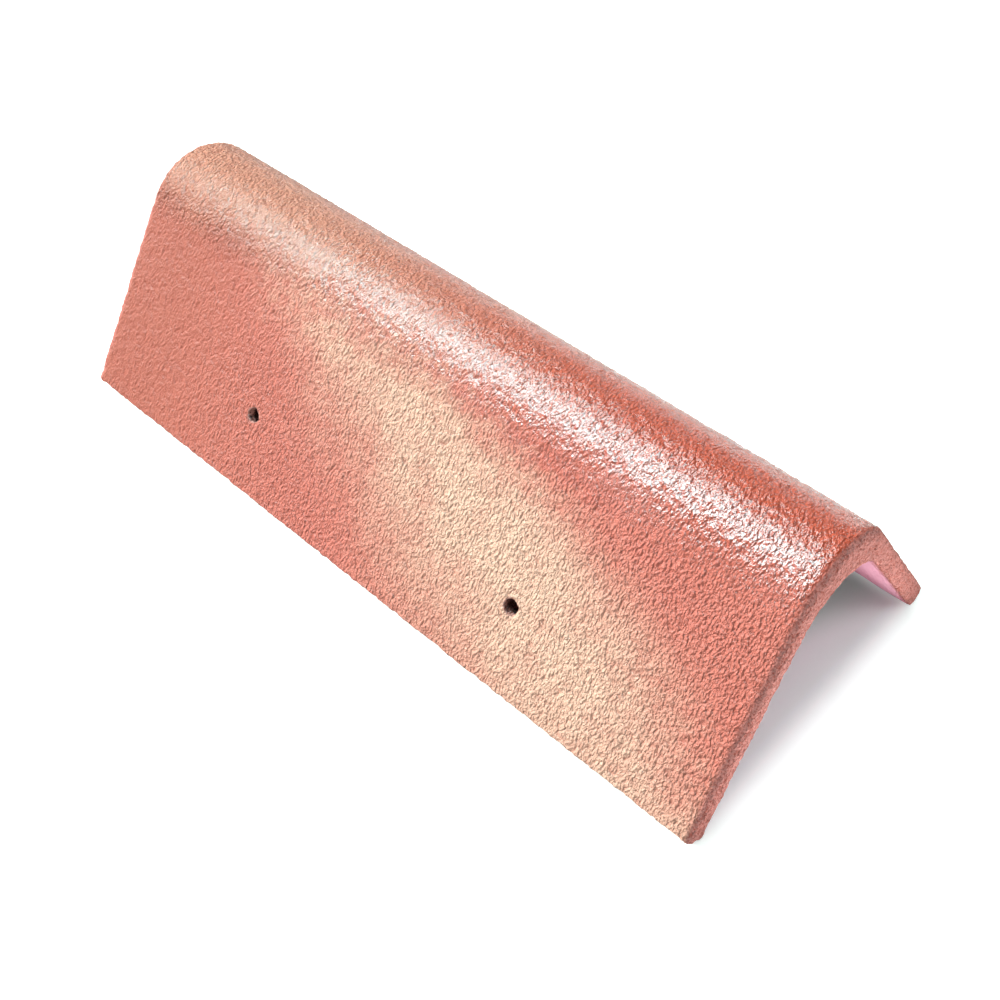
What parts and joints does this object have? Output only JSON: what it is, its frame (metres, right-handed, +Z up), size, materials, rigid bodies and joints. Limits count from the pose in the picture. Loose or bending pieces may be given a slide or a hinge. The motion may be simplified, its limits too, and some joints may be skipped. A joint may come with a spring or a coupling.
{
  "type": "ridge tile",
  "caption": "Inverted V roof tile with a thick rounded crown, straight wings pierced by nail holes, and flat ends, that covers the ridge of a roof.",
  "frame": {"origin": "under the middle of the tile, on the surface that its two feet stand on", "axes": "+X along the ridge, +Y across it, +Z up"},
  "size_m": [0.45, 0.195, 0.124],
  "materials": {
    "coated_concrete": "pitted concrete with a terracotta and cream colour coat and a clear gloss"
  },
  "bodies": {
    "root": {"ridge_tile": "coated_concrete"}
  },
  "joints": []
}
